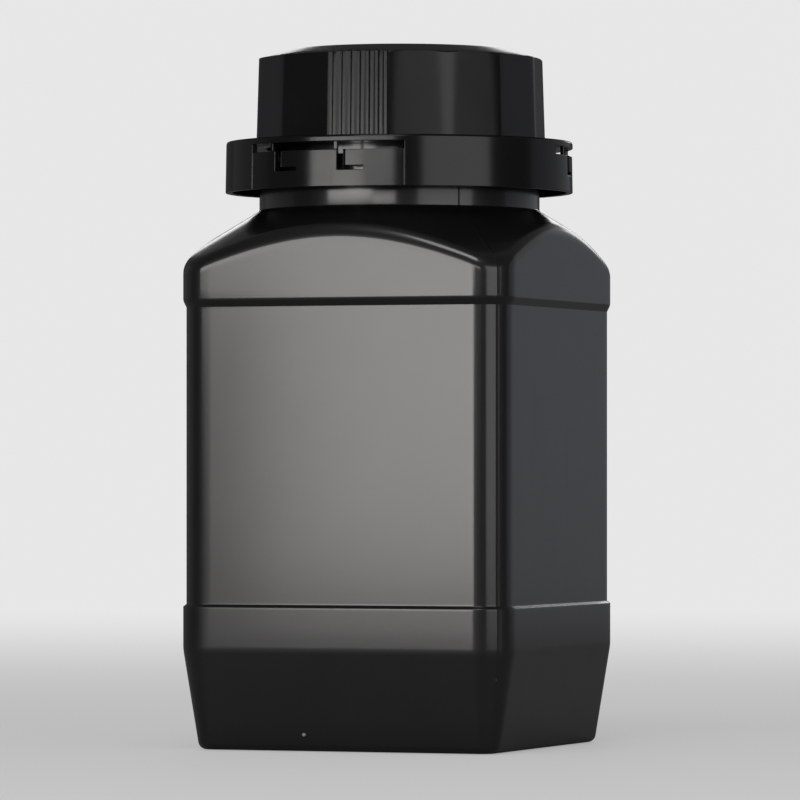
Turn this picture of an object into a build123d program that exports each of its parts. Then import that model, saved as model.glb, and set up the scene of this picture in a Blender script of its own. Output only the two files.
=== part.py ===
from build123d import *
from math import asin, atan, cos, degrees, radians, sin, sqrt, tan
import os

os.makedirs("parts", exist_ok=True)

# A square wide-mouth media bottle with a screw cap and a tamper-evident flange.
# Millimetres and degrees. +Z up, origin in the middle of the base, flat sides
# square to X and Y. Angles round the cap are measured from +X.

# ---- bottle body: across the sides ----
body_width = 88.8  # across the two raised bands
corner_radius = 8.6  # upright corners
panel_recess = 0.83  # how far the label panel stands in from the bands
foot_inset = 4.1  # how far each side has drawn in at the very bottom
foot_rounding = 3.4  # edge between sides and base
wall = 1.5
push_up_height = 3.0  # hollow under the base
push_up_flat = 0.55  # share of the hollow that is flat
standing_rim = 5.0  # width of the flat ring the bottle stands on

# ---- bottle body: heights, one after another from the base ----
foot_height = 25.3
lower_band_height = 10.8
lower_step_height = 0.6
panel_height = 75.0
upper_step_height = 1.7
upper_band_height = 9.4  # to where the corners meet the shoulder
shoulder_rise = 14.1
shoulder_bevel = 2.2  # broken edge where the flat sides meet the shoulder

# ---- neck ----
neck_ring_radius = 35.9
ring_height = 8.6
ratchet_height = 4.4
ratchet_depth = 1.3
ratchet_teeth = 24
ratchet_space = 2.7  # between the tips of the teeth and the flange of the cap
finish_height = 24.3  # from the ratchet collar to the rim
neck_wall = 3.2  # under the thread
rim_chamfer = 0.4

# ---- screw thread, right-handed ----
thread_lead = 6.0
thread_turns = 1.0  # of the ridge on the neck
cap_thread_turns = 0.85
thread_depth = 1.45  # of the ridge on the neck and of the one in the cap
thread_crest = 1.1
thread_root = 2.4
thread_bite = 0.3  # how deep a ridge is rooted in the wall that carries it
thread_play = 0.35  # between the flanks of the two ridges
crest_clearance = 0.65  # between each ridge and the wall it faces
thread_drop = 5.0  # from the rim to the middle of the neck ridge's upper end

# ---- liner ----
liner_thickness = 1.5
liner_clearance = 0.6  # round the disc, inside the cap

# ---- cap: grip skirt ----
top_thickness = 1.7
top_ring_height = 0.6  # raised ring round the top
top_ring_width = 3.0
top_rounding = 6.0
top_edge_facets = 3  # narrow cones that make up the rolled edge
skirt_radius = 37.45  # over the corners, just above the flange
skirt_draft = 2.0
skirt_wall = 3.15  # at the corners, just above the flange
grip_flats = 15
flat_draft = 1.7
ribbed_every = 5  # one flat in this many is ribbed
ribbed_heading = -85.9  # middle of the first ribbed flat
ribs_per_flat = 6
rib_margin = 0.26  # beside the ribs of a flat, as a share of their pitch
rib_depth = 0.55

# ---- cap: tamper-evident flange ----
flange_overhang = 0.2  # how far its lower edge stands out past the sides of the body
flange_height = 12.9
flange_draft = 1.0
flange_wall = 1.7
rim_thickness = 1.6  # flat ring that joins the flange to the skirt
rim_clearance = 2.9  # between that ring and the ratchet collar
rim_edge_chamfer = 0.4
slot_height = 2.05
segments = 3
segment_heading = -125.9  # clockwise end of the first slotted segment
segment_angle = 58.4
segment_recess = 0.2  # a segment's face stands in by this much
bridge_angles = (9.5, 35.2)  # from the segment's clockwise end
bridge_width = 1.0
bridge_depth = 0.9
pawl_angles = (11.8, 36.0)  # free ends of the pawls
pawl_span = 9.0
pawl_gap = 1.5  # upright cut at a pawl's free end
pawl_foot_gap = 1.0  # level cut under a pawl
pawl_height = 4.1  # from the level cut to the slot
pawl_nose_angle = 4.0  # wedge inside the free end of a pawl
pawl_bevel = 0.8  # taken off the outside of the free end
pawl_clearance = 0.4  # between the nose and the ratchet teeth

# ---- places that follow from the sizes above ----
lower_band_z = foot_height
lower_step_z = lower_band_z + lower_band_height
panel_z = lower_step_z + lower_step_height
upper_step_z = panel_z + panel_height
upper_band_z = upper_step_z + upper_step_height
corner_top_z = upper_band_z + upper_band_height
shoulder_z = corner_top_z + shoulder_rise
ring_top_z = shoulder_z + ring_height
ratchet_top_z = ring_top_z + ratchet_height
rim_z = ratchet_top_z + finish_height
cap_roof_z = rim_z + liner_thickness
cap_top_z = cap_roof_z + top_thickness + top_ring_height
slot_top_z = ratchet_top_z + rim_clearance
slot_z = slot_top_z - slot_height
ledge_z = slot_top_z + rim_thickness
flange_z = ledge_z - flange_height

skirt_bore_radius = skirt_radius - skirt_wall
finish_radius = skirt_bore_radius - crest_clearance - thread_depth
mouth_radius = finish_radius - neck_wall

half_width = body_width / 2
flange_radius = half_width + flange_overhang
flange_bore_radius = flange_radius - flange_wall
ratchet_radius = flange_bore_radius - ratchet_space
corner_reach = sqrt(2) * (half_width - corner_radius) + corner_radius
shoulder_slope = shoulder_rise / (corner_reach - neck_ring_radius)
flank_slope = (thread_root - thread_crest) / 2 / thread_depth


def rounded_square(height, inset):
    """Outline of the body at a height, drawn in from the bands by inset."""
    with BuildSketch(Plane.XY.offset(height)) as outline:
        side = body_width - 2 * inset
        RectangleRounded(side, side, max(corner_radius - inset, corner_radius / 4))
    return outline.sketch


def blown_form(inset, broken_edges):
    """Closed body form without the neck, its whole surface drawn in by inset."""
    foot_slope = foot_inset / foot_height
    with BuildPart() as form:
        # Tapered foot, its corners tightening towards the base.
        add(rounded_square(lower_band_z, inset))
        extrude(amount=inset - lower_band_z, taper=degrees(atan(foot_slope)))
        if broken_edges:
            fillet(form.faces().sort_by(Axis.Z)[0].edges(), foot_rounding)
        # Lower band.
        add(rounded_square(lower_band_z, inset))
        extrude(amount=lower_band_height)
        # Lower step, label panel and upper step.
        add(rounded_square(lower_step_z, inset))
        extrude(amount=lower_step_height, taper=degrees(atan(panel_recess / lower_step_height)))
        add(rounded_square(panel_z, panel_recess + inset))
        extrude(amount=panel_height)
        add(rounded_square(upper_band_z, inset))
        extrude(amount=-upper_step_height, taper=degrees(atan(panel_recess / upper_step_height)))
        # Upper band, cut by the cone of the shoulder.
        add(rounded_square(upper_band_z, inset))
        extrude(amount=shoulder_z - upper_band_z)
    top_z = shoulder_z - inset * sqrt(1 + shoulder_slope**2)
    foot_of_cone = corner_reach + corner_radius
    with BuildPart() as cone:
        with BuildSketch(Plane.XZ):
            with BuildLine():
                Polyline(
                    (0, 0),
                    (foot_of_cone, 0),
                    (foot_of_cone, top_z - (foot_of_cone - neck_ring_radius) * shoulder_slope),
                    (neck_ring_radius, top_z),
                    (0, top_z),
                    close=True,
                )
            make_face()
        revolve(axis=Axis.Z)
    with BuildPart() as body:
        add(form.part)
        add(cone.part, mode=Mode.INTERSECT)
        if broken_edges:
            above_band = body.edges().filter_by(lambda e: e.bounding_box().min.Z > upper_band_z + 1)
            chamfer(above_band.filter_by(lambda e: e.bounding_box().max.Z < top_z - 0.1), shoulder_bevel)
    return body.part


def arc_sector(inner_radius, outer_radius, start_angle, sweep_angle, low_z, high_z):
    """Solid part of a ring, from start_angle counter-clockwise through sweep_angle."""
    with BuildPart() as sector:
        with BuildSketch(Plane.XZ.rotated((0, 0, start_angle))):
            with BuildLine():
                Polyline(
                    (inner_radius, low_z),
                    (outer_radius, low_z),
                    (outer_radius, high_z),
                    (inner_radius, high_z),
                    close=True,
                )
            make_face()
        revolve(axis=Axis.Z, revolution_arc=sweep_angle)
    return sector.part


def push_up(foot_radius, rise):
    """Low cone with a flat middle, standing on the ground plane."""
    with BuildPart() as solid:
        with BuildSketch(Plane.XZ):
            with BuildLine():
                Polyline((0, 0), (foot_radius, 0), (foot_radius * push_up_flat, rise), (0, rise), close=True)
            make_face()
        revolve(axis=Axis.Z)
    return solid.part


def thread_ridge(root_radius, outward, low_z, turns):
    """One screw ridge on a wall at root_radius, standing outward (1) or inward (-1)."""
    rise = thread_depth * outward
    foot = thread_root / 2 + thread_bite * flank_slope
    with BuildPart() as ridge:
        with BuildLine() as path:
            Helix(pitch=thread_lead, height=thread_lead * turns, radius=root_radius, center=(0, 0, low_z))
        with BuildSketch(Plane(path.line @ 0, x_dir=(1, 0, 0), z_dir=path.line % 0)):
            Polygon(
                (-thread_bite * outward, -foot),
                (rise, -thread_crest / 2),
                (rise, thread_crest / 2),
                (-thread_bite * outward, foot),
                align=None,
            )
        sweep(is_frenet=True)
    return ridge.part


def wedge(points, low_z, high_z):
    """Upright prism over a closed outline of (radius, angle) points."""
    with BuildPart() as prism:
        with BuildSketch(Plane.XY.offset(low_z)):
            with BuildLine():
                Polyline(*[Vector(radius, 0).rotate(Axis.Z, angle) for radius, angle in points], close=True)
            make_face()
        extrude(amount=high_z - low_z)
    return prism.part


# ---------------- bottle ----------------

push_up_radius = half_width - foot_inset - foot_rounding - standing_rim
neck_thread_z = rim_z - thread_drop - thread_lead * thread_turns
outer_form = blown_form(0, broken_edges=True)
cavity_form = blown_form(wall, broken_edges=False)

with BuildPart() as bottle:
    add(outer_form)
    # Neck ring, ratchet collar and neck finish, one on another.
    with BuildSketch(Plane.XY.offset(shoulder_z - wall)):
        Circle(neck_ring_radius)
    extrude(amount=ring_height + wall)
    with BuildSketch(Plane.XY.offset(ring_top_z)):
        tooth_angle = 360 / ratchet_teeth
        with BuildLine():
            for tooth in range(ratchet_teeth):
                start = tooth * tooth_angle
                root = Vector(ratchet_radius - ratchet_depth, 0).rotate(Axis.Z, start)
                tip = Vector(ratchet_radius, 0).rotate(Axis.Z, start + tooth_angle)
                next_root = Vector(ratchet_radius - ratchet_depth, 0).rotate(Axis.Z, start + tooth_angle)
                Line(root, tip)
                Line(tip, next_root)
        make_face()
    extrude(amount=ratchet_height)
    with BuildSketch(Plane.XY.offset(ratchet_top_z)):
        Circle(finish_radius)
    extrude(amount=rim_z - ratchet_top_z)
    chamfer(bottle.faces().sort_by(Axis.Z)[-1].edges(), rim_chamfer)
    add(thread_ridge(finish_radius, 1, neck_thread_z, thread_turns))
    # Hollow inside, open through the mouth.
    add(cavity_form, mode=Mode.SUBTRACT)
    with BuildSketch(Plane.XY.offset(rim_z)):
        Circle(mouth_radius)
    extrude(amount=shoulder_z - shoulder_rise / 2 - rim_z, mode=Mode.SUBTRACT)
    # Base pushed up inside its standing rim, floor and all.
    add(push_up(push_up_radius + wall, push_up_height + wall))
    add(push_up(push_up_radius, push_up_height), mode=Mode.SUBTRACT)
bottle.part.label = "bottle"
export_step(bottle.part, "parts/bottle.step")


# ---------------- liner ----------------

liner_radius = skirt_bore_radius - liner_clearance

with BuildPart() as liner:
    with BuildSketch(Plane.XY.offset(rim_z)):
        Circle(liner_radius)
    extrude(amount=liner_thickness)
liner.part.label = "liner"
export_step(liner.part, "parts/liner.step")


# ---------------- cap ----------------

skirt_height = cap_top_z - ledge_z
skirt_top_radius = skirt_radius - skirt_height * tan(radians(skirt_draft))
ring_outer_radius = skirt_top_radius - top_rounding
ring_inner_radius = ring_outer_radius - top_ring_width
flange_top_radius = flange_radius - flange_height * tan(radians(flange_draft))
flat_angle = 360 / grip_flats
flat_radius = skirt_radius * cos(radians(flat_angle / 2))
flat_width = 2 * flat_radius * tan(radians(flat_angle / 2))
rib_pitch = flat_width / (ribs_per_flat + rib_margin)
ribbed_flats = grip_flats // ribbed_every
pawl_z = slot_z - pawl_height
nose_radius = ratchet_radius + pawl_clearance
# The cap's ridge hangs under the neck's by what their sloped flanks need.
ridge_offset = thread_root - flank_slope * (skirt_bore_radius - finish_radius) + thread_play
cap_thread_z = neck_thread_z - ridge_offset

# Outside of the grip skirt: a drafted round with a rolled top edge, its sides
# planed to flats.
with BuildPart() as grip:
    with BuildSketch(Plane.XZ):
        with BuildLine():
            rolls = [radians(90 * step / top_edge_facets) for step in range(top_edge_facets + 1)]
            Polyline(
                (0, cap_top_z),
                (0, slot_top_z),
                (skirt_radius, slot_top_z),
                (skirt_radius, ledge_z),
                *[
                    (
                        skirt_top_radius - top_rounding * (1 - cos(roll)),
                        cap_top_z - top_rounding * (1 - sin(roll)),
                    )
                    for roll in rolls
                ],
                close=True,
            )
        make_face()
    revolve(axis=Axis.Z)
    with BuildSketch(Plane.XY.offset(slot_top_z)):
        RegularPolygon(
            flat_radius + rim_thickness * tan(radians(flat_draft)),
            grip_flats,
            major_radius=False,
            rotation=ribbed_heading - 180 / grip_flats,
        )
    extrude(amount=cap_top_z - slot_top_z, taper=flat_draft, mode=Mode.INTERSECT)

# Grooves between the ribs of one ribbed flat, standing on the flange.
groove_mouth = rib_pitch * 0.34
groove_floor = rib_pitch * 0.14
with BuildPart() as rib_grooves:
    flat_plane = Plane(
        origin=Vector(flat_radius, 0, ledge_z).rotate(Axis.Z, ribbed_heading),
        x_dir=Vector(0, 1, 0).rotate(Axis.Z, ribbed_heading),
        z_dir=Vector(-sin(radians(flat_draft)), 0, cos(radians(flat_draft))).rotate(Axis.Z, ribbed_heading),
    )
    with BuildSketch(flat_plane):
        with GridLocations(rib_pitch, 1, ribs_per_flat + 1, 1):
            Polygon(
                (-groove_mouth, -1),
                (groove_mouth, -1),
                (groove_mouth, 0),
                (groove_floor, rib_depth),
                (-groove_floor, rib_depth),
                (-groove_mouth, 0),
                align=None,
            )
    extrude(amount=skirt_height + 1)

with BuildPart() as cap:
    add(grip.part)
    # Flange: open-bottomed ring hung from a flat rim.
    with BuildSketch(Plane.XZ):
        with BuildLine():
            Polyline(
                (skirt_bore_radius, slot_top_z),
                (flange_bore_radius, slot_top_z),
                (flange_bore_radius, flange_z),
                (flange_radius, flange_z),
                (flange_top_radius, ledge_z),
                (skirt_bore_radius, ledge_z),
                close=True,
            )
        make_face()
        chamfer(vertices().group_by(Axis.Y)[-1].sort_by(Axis.X)[-1], rim_edge_chamfer)
    revolve(axis=Axis.Z)
    # Grooves of the ribbed flats.
    with PolarLocations(0, ribbed_flats):
        add(rib_grooves.part, mode=Mode.SUBTRACT)
    # Bore up to the roof, and the sunk middle of the top.
    with BuildSketch(Plane.XY.offset(flange_z)):
        Circle(skirt_bore_radius)
    extrude(amount=cap_roof_z - flange_z, mode=Mode.SUBTRACT)
    add(thread_ridge(skirt_bore_radius, -1, cap_thread_z, cap_thread_turns))
    with BuildSketch(Plane.XY.offset(cap_top_z)):
        Circle(ring_inner_radius)
    extrude(amount=-top_ring_height, mode=Mode.SUBTRACT)
    # Slotted segments: a shallow recess, the slot, its bridges and the pawls.
    outside = flange_radius + 2
    for segment in range(segments):
        start = segment_heading + segment * 360 / segments
        add(
            arc_sector(flange_radius - segment_recess, outside, start, segment_angle, flange_z - 1, slot_z),
            mode=Mode.SUBTRACT,
        )
        add(
            arc_sector(flange_bore_radius - 1, outside, start, segment_angle, slot_z, slot_top_z),
            mode=Mode.SUBTRACT,
        )
        for bridge_angle in bridge_angles:
            half = degrees(asin(bridge_width / 2 / flange_radius))
            add(
                arc_sector(
                    flange_bore_radius,
                    flange_bore_radius + bridge_depth,
                    start + bridge_angle - half,
                    2 * half,
                    slot_z,
                    slot_top_z,
                )
            )
        for pawl_angle in pawl_angles:
            gap = degrees(pawl_gap / flange_radius)
            tip = start + pawl_angle + gap
            bevel = degrees(pawl_bevel / flange_radius)
            # L-shaped cut round the free end and the foot of the pawl.
            add(
                arc_sector(
                    flange_bore_radius - 1, outside, start + pawl_angle, gap, pawl_z - pawl_foot_gap, slot_z
                ),
                mode=Mode.SUBTRACT,
            )
            add(
                arc_sector(
                    flange_bore_radius - 1,
                    outside,
                    start + pawl_angle,
                    pawl_span,
                    pawl_z - pawl_foot_gap,
                    pawl_z,
                ),
                mode=Mode.SUBTRACT,
            )
            # Bevelled tip, and the nose that would catch a ratchet tooth.
            add(
                wedge(
                    [
                        (flange_radius - segment_recess - pawl_bevel, tip - gap / 2),
                        (flange_radius - segment_recess - pawl_bevel, tip),
                        (outside, tip + 2 * bevel * (outside - flange_radius) / pawl_bevel + bevel),
                        (outside, tip - gap / 2),
                    ],
                    pawl_z,
                    slot_z,
                ),
                mode=Mode.SUBTRACT,
            )
            add(
                wedge(
                    [
                        (flange_bore_radius + 0.3, tip),
                        (nose_radius, tip),
                        (flange_bore_radius + 0.3, tip + pawl_nose_angle),
                    ],
                    pawl_z,
                    slot_z,
                )
            )
cap.part.label = "cap"
export_step(cap.part, "parts/cap.step")
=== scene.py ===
"""Looks for a square media bottle with a ribbed, tamper-evident screw cap.

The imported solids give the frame: the main sizes are read from their boxes. Skins
of finer shape stand for them, one class for each moulded piece. Lengths in the
size classes are in millimetres, angles in degrees, and meshes are in metres.
"""

import logging
import math
from dataclasses import dataclass, field
from enum import Enum

import bpy
import numpy as np
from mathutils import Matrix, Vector


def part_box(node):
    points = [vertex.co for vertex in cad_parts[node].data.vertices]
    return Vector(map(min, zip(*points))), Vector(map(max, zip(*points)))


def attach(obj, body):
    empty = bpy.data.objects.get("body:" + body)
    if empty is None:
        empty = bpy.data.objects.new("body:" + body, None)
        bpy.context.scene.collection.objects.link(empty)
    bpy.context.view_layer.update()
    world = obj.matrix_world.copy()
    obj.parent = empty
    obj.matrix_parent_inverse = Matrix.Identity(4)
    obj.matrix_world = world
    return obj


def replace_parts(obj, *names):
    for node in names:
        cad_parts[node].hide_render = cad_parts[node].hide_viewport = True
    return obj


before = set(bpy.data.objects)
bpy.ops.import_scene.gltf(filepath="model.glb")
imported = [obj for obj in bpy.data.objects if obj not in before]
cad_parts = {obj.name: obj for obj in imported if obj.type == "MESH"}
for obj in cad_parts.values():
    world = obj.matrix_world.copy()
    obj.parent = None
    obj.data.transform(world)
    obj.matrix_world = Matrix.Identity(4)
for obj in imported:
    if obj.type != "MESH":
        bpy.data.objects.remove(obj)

MM = 0.001
MICROMETRE = 1e-6
Socket = bpy.types.NodeSocket
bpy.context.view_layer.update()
log = logging.getLogger("square media bottle")


# ---------------------------------------------------------------- mesh helpers


class Smoothing(Enum):
    """How far two faces may turn, in degrees, and still shade as one surface."""

    MOULDED = 38.0
    CRISP = 24.0


class Skin:
    """Gathers the shells of one piece, in millimetres, and makes one mesh of them."""

    def __init__(self, name: str) -> None:
        """Starts an empty skin that will be the object called name."""
        self.name = name
        self.points: list[np.ndarray] = []
        self.faces: list[list[int]] = []
        self.count = 0

    def add(self, points: np.ndarray, faces: list[list[int]]) -> None:
        """Adds one shell.

        Args:
            points: its corners, one row of x, y, z each.
            faces: corner numbers of each face, counter-clockwise from outside.
        """
        self.points.append(np.asarray(points, float).reshape(-1, 3))
        self.faces += [[corner + self.count for corner in face] for face in faces]
        self.count += len(self.points[-1])

    def add_rings(self, rings: np.ndarray, start: np.ndarray, end: np.ndarray) -> None:
        """Adds a shell of closed rings, gathered to a point at either end.

        Args:
            rings: corners by ring and column. Seen from outside, a later ring
                lies to the left of the way the columns run.
            start: the point that closes the first ring.
            end: the point that closes the last ring.
        """
        ring_count, columns = rings.shape[:2]
        first, last = ring_count * columns, ring_count * columns + 1
        faces = []
        for column in range(columns):
            beside = (column + 1) % columns
            faces.append([first, beside, column])
            for ring in range(ring_count - 1):
                low, high = ring * columns, (ring + 1) * columns
                faces.append([low + column, low + beside, high + beside, high + column])
            top = (ring_count - 1) * columns
            faces.append([top + column, top + beside, last])
        self.add(np.vstack([rings.reshape(-1, 3), start, end]), faces)

    def build(self, body: str, material: bpy.types.Material, slot: str) -> bpy.types.Object:
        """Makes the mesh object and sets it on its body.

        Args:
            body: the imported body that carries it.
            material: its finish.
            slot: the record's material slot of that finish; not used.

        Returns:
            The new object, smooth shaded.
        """
        mesh = bpy.data.meshes.new(self.name)
        mesh.from_pydata((np.vstack(self.points) * MM).tolist(), [], self.faces)
        mesh.validate()
        mesh.polygons.foreach_set("use_smooth", [True] * len(mesh.polygons))
        mesh.materials.append(material)
        made = bpy.data.objects.new(self.name, mesh)
        bpy.context.scene.collection.objects.link(made)
        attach(made, body)
        log.info("%s: %d faces on body %s", self.name, len(mesh.polygons), body)
        return made


def keep_edges(made: bpy.types.Object, smoothing: Smoothing) -> None:
    """Marks the edges of a piece that turn too far to shade as one surface."""
    made.data.set_sharp_from_angle(angle=math.radians(smoothing.value))


def rounded_path(corners: list[tuple[float, ...]], steps: int = 5) -> np.ndarray:
    """Rounds the corners of an open outline.

    Args:
        corners: the outline's corners, each (across, up) or (across, up, radius).
        steps: how many facets make up each rounding.

    Returns:
        The points along the rounded outline.
    """
    path = []
    for at, corner in enumerate(corners):
        here = np.array(corner[:2], float)
        radius = corner[2] if len(corner) > 2 else 0.0
        if not radius or at in (0, len(corners) - 1):
            path.append(here)
            continue
        back = np.array(corners[at - 1][:2]) - here
        ahead = np.array(corners[at + 1][:2]) - here
        back_length, ahead_length = np.linalg.norm(back), np.linalg.norm(ahead)
        back, ahead = back / back_length, ahead / ahead_length
        half = math.acos(np.clip(back @ ahead, -1, 1)) / 2
        reach = min(radius / math.tan(half), 0.49 * back_length, 0.49 * ahead_length)
        centre = here + (back + ahead) / np.linalg.norm(back + ahead) * reach / math.cos(half)
        size = reach * math.tan(half)
        first, last = here + back * reach - centre, here + ahead * reach - centre
        begin = math.atan2(first[1], first[0])
        sweep = (math.atan2(last[1], last[0]) - begin + math.pi) % (2 * math.pi) - math.pi
        for step in range(steps + 1):
            angle = begin + sweep * step / steps
            path.append(centre + size * np.array([math.cos(angle), math.sin(angle)]))
    return np.array(path)


def subdivided(path: np.ndarray, longest: float) -> np.ndarray:
    """Adds even points to the straight runs of a path that are longer than longest."""
    out = [path[0]]
    for start, end in zip(path[:-1], path[1:]):
        pieces = max(1, math.ceil(float(np.linalg.norm(end - start)) / longest))
        out += [start + (end - start) * step / pieces for step in range(1, pieces + 1)]
    return np.array(out)


def polar(radius: np.ndarray, angle: np.ndarray, height: np.ndarray) -> np.ndarray:
    """Corners from radii, angles in radians and heights of one shape."""
    across, along = radius * np.cos(angle), radius * np.sin(angle)
    return np.stack([across, along, height + 0 * radius * angle], -1)


def soft_least(one: np.ndarray, other: np.ndarray, blend: float) -> np.ndarray:
    """The smaller of two arrays, rounded over a width of blend where they cross."""
    share = np.maximum(blend - np.abs(one - other), 0) / blend
    return np.minimum(one, other) - share * share * blend / 4


def screw_ridge(
    skin: Skin, root: float, outward: int, low_z: float, turns: float, form: "ThreadForm"
) -> None:
    """Adds one screw ridge whose ends run out into the wall.

    Args:
        skin: the skin that takes it.
        root: radius of the wall it stands on.
        outward: 1 on a neck, -1 inside a cap.
        low_z: height of its middle line at its lower end.
        turns: how many turns it makes.
        form: the ridge's cross-section.
    """
    steps = int(turns * 144)
    section = [(-0.3, -form.root), (0.0, -form.root), (form.depth * 0.82, -form.crest - 0.12)]
    section += [(form.depth, -form.crest + 0.12), (form.depth, form.crest - 0.12)]
    section += [(form.depth * 0.82, form.crest + 0.12), (0.0, form.root), (-0.3, form.root)]
    turn = np.linspace(0, 1, steps + 1)
    run_out = np.clip(np.minimum(turn, 1 - turn) * turns * 360 / form.run_out, 0.02, 1)
    scale = np.sin(run_out * math.pi / 2)
    angle = turn * turns * 2 * math.pi
    loops = []
    for rise, up in section:
        across = root + outward * np.where(rise > 0, rise * scale, rise)
        loops.append(polar(across, angle, low_z + form.lead * turns * turn + up * (0.5 + 0.5 * scale)))
    grid = np.stack(loops, 1)
    side = len(section)
    faces = []
    for step in range(steps):
        for corner in range(side):
            beside = (corner + 1) % side
            low, high = step * side, (step + 1) * side
            faces.append([low + corner, high + corner, high + beside, low + beside][::outward])
    faces += [list(range(side))[::outward], [steps * side + c for c in range(side)][::-outward]]
    skin.add(grid.reshape(-1, 3), faces)


# ---------------------------------------------------------------- finishes


@dataclass(frozen=True)
class NickWithPaintedGlint:
    """A small knock in the plastic, with the glint it catches painted in as pale colour: a painted highlight
    on real wear. All sizes are in millimetres.
    """

    place: tuple[float, float, float]
    half_width: float
    half_height: float


@dataclass(frozen=True)
class MouldedPlastic:
    """A moulded plastic with fine grain, slow waves from the mould and light scuffs."""

    name: str
    colour: tuple[float, float, float]
    second_colour: tuple[float, float, float]
    roughness: float
    roughness_spread: float
    grain_size: float  # millimetres
    grain_height: float  # micrometres
    wave_size: float  # millimetres
    wave_height: float  # micrometres
    scuffs: float  # share of extra roughness along scratches
    specular: float = 0.5
    coat: float = 0.0
    coat_roughness: float = 0.13
    cloud_width: float = 1.7  # of the second colour, in waves
    scratch_width: float = 0.22  # in waves
    scratch_length: float = 1 / 0.06  # in scratch widths
    mottle_width: float = 26.0  # of the uneven roughness, in grains
    # knocks in the plastic, each with a painted highlight: the glint it catches painted in as pale colour
    nicks_with_painted_glints: tuple[NickWithPaintedGlint, ...] = ()
    nick_and_glint_colour: tuple[float, float, float] = (0.45, 0.45, 0.43)

    def material(self) -> bpy.types.Material:
        """Builds the node tree of this finish.

        Returns:
            The material, in the object's own coordinates.
        """
        made = bpy.data.materials.new(self.name)
        made.use_nodes = True
        nodes, links = made.node_tree.nodes, made.node_tree.links
        shader = nodes["Principled BSDF"]
        shader.inputs["Specular IOR Level"].default_value = self.specular
        shader.inputs["Coat Weight"].default_value = self.coat
        shader.inputs["Coat Roughness"].default_value = self.coat_roughness
        place = nodes.new("ShaderNodeTexCoord").outputs["Object"]

        def noise(size: float, detail: float, tall: float = 1.0) -> Socket:
            """A noise pattern of cells size millimetres wide and tall times that high."""
            scale = nodes.new("ShaderNodeMapping")
            scale.inputs["Scale"].default_value = Vector((1.0, 1.0, 1 / tall)) / (size * MM)
            pattern = nodes.new("ShaderNodeTexNoise")
            pattern.inputs["Scale"].default_value = 1.0
            pattern.inputs["Detail"].default_value = detail
            links.new(place, scale.inputs["Vector"])
            links.new(scale.outputs["Vector"], pattern.inputs["Vector"])
            return pattern.outputs["Fac"]

        def ranged(value: Socket, low: float, high: float, to_low: float, to_high: float) -> Socket:
            """The value carried from one range to another, held at both ends."""
            step = nodes.new("ShaderNodeMapRange")
            for socket, number in zip(step.inputs[1:5], (low, high, to_low, to_high)):
                socket.default_value = number
            links.new(value, step.inputs["Value"])
            return step.outputs["Result"]

        def nick_glint_share(glinted_nick: NickWithPaintedGlint) -> Socket:
            """1 inside a nick's painted glint and 0 away from it, with a ragged edge."""
            size = Vector((glinted_nick.half_width, glinted_nick.half_width, glinted_nick.half_height))
            offset = nodes.new("ShaderNodeVectorMath")
            offset.operation = "SUBTRACT"
            offset.inputs[1].default_value = Vector(glinted_nick.place) * MM
            links.new(place, offset.inputs[0])
            scaled = nodes.new("ShaderNodeVectorMath")
            scaled.operation = "DIVIDE"
            scaled.inputs[1].default_value = size * MM
            links.new(offset.outputs["Vector"], scaled.inputs[0])
            reach = nodes.new("ShaderNodeVectorMath")
            reach.operation = "LENGTH"
            links.new(scaled.outputs["Vector"], reach.inputs[0])
            ragged = nodes.new("ShaderNodeMath")
            ragged.operation = "ADD"
            links.new(reach.outputs["Value"], ragged.inputs[0])
            links.new(noise(glinted_nick.half_width, 2), ragged.inputs[1])
            return ranged(ragged.outputs["Value"], 1.2, 1.6, 1, 0)

        cloud = noise(self.wave_size * self.cloud_width, 3)
        tint = nodes.new("ShaderNodeMix")
        tint.data_type = "RGBA"
        tint.inputs["A"].default_value = (*self.colour, 1)
        tint.inputs["B"].default_value = (*self.second_colour, 1)
        links.new(ranged(cloud, 0.35, 0.65, 0, 1), tint.inputs["Factor"])
        colour = tint.outputs["Result"]
        # Each nick is a real knock whose glint is painted in: pale colour as a painted highlight.
        for glinted_nick in self.nicks_with_painted_glints:
            pale = nodes.new("ShaderNodeMix")
            pale.data_type = "RGBA"
            pale.inputs["B"].default_value = (*self.nick_and_glint_colour, 1)
            links.new(nick_glint_share(glinted_nick), pale.inputs["Factor"])
            links.new(colour, pale.inputs["A"])
            colour = pale.outputs["Result"]
        links.new(colour, shader.inputs["Base Color"])

        scratch = noise(self.wave_size * self.scratch_width, 4, self.scratch_length)
        mottle = noise(self.grain_size * self.mottle_width, 2)
        rough = nodes.new("ShaderNodeMath")
        rough.operation = "ADD"
        smoothest = self.roughness - self.roughness_spread
        roughest = self.roughness + self.roughness_spread
        links.new(ranged(mottle, 0.3, 0.7, smoothest, roughest), rough.inputs[0])
        links.new(ranged(scratch, 0.66, 0.78, 0, self.scuffs), rough.inputs[1])
        links.new(rough.outputs["Value"], shader.inputs["Roughness"])

        waves = nodes.new("ShaderNodeBump")
        waves.inputs["Distance"].default_value = self.wave_height * MICROMETRE
        links.new(noise(self.wave_size, 1), waves.inputs["Height"])
        grain = nodes.new("ShaderNodeBump")
        grain.inputs["Distance"].default_value = self.grain_height * MICROMETRE
        links.new(noise(self.grain_size, 3), grain.inputs["Height"])
        links.new(waves.outputs["Normal"], grain.inputs["Normal"])
        links.new(grain.outputs["Normal"], shader.inputs["Normal"])
        return made


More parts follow.
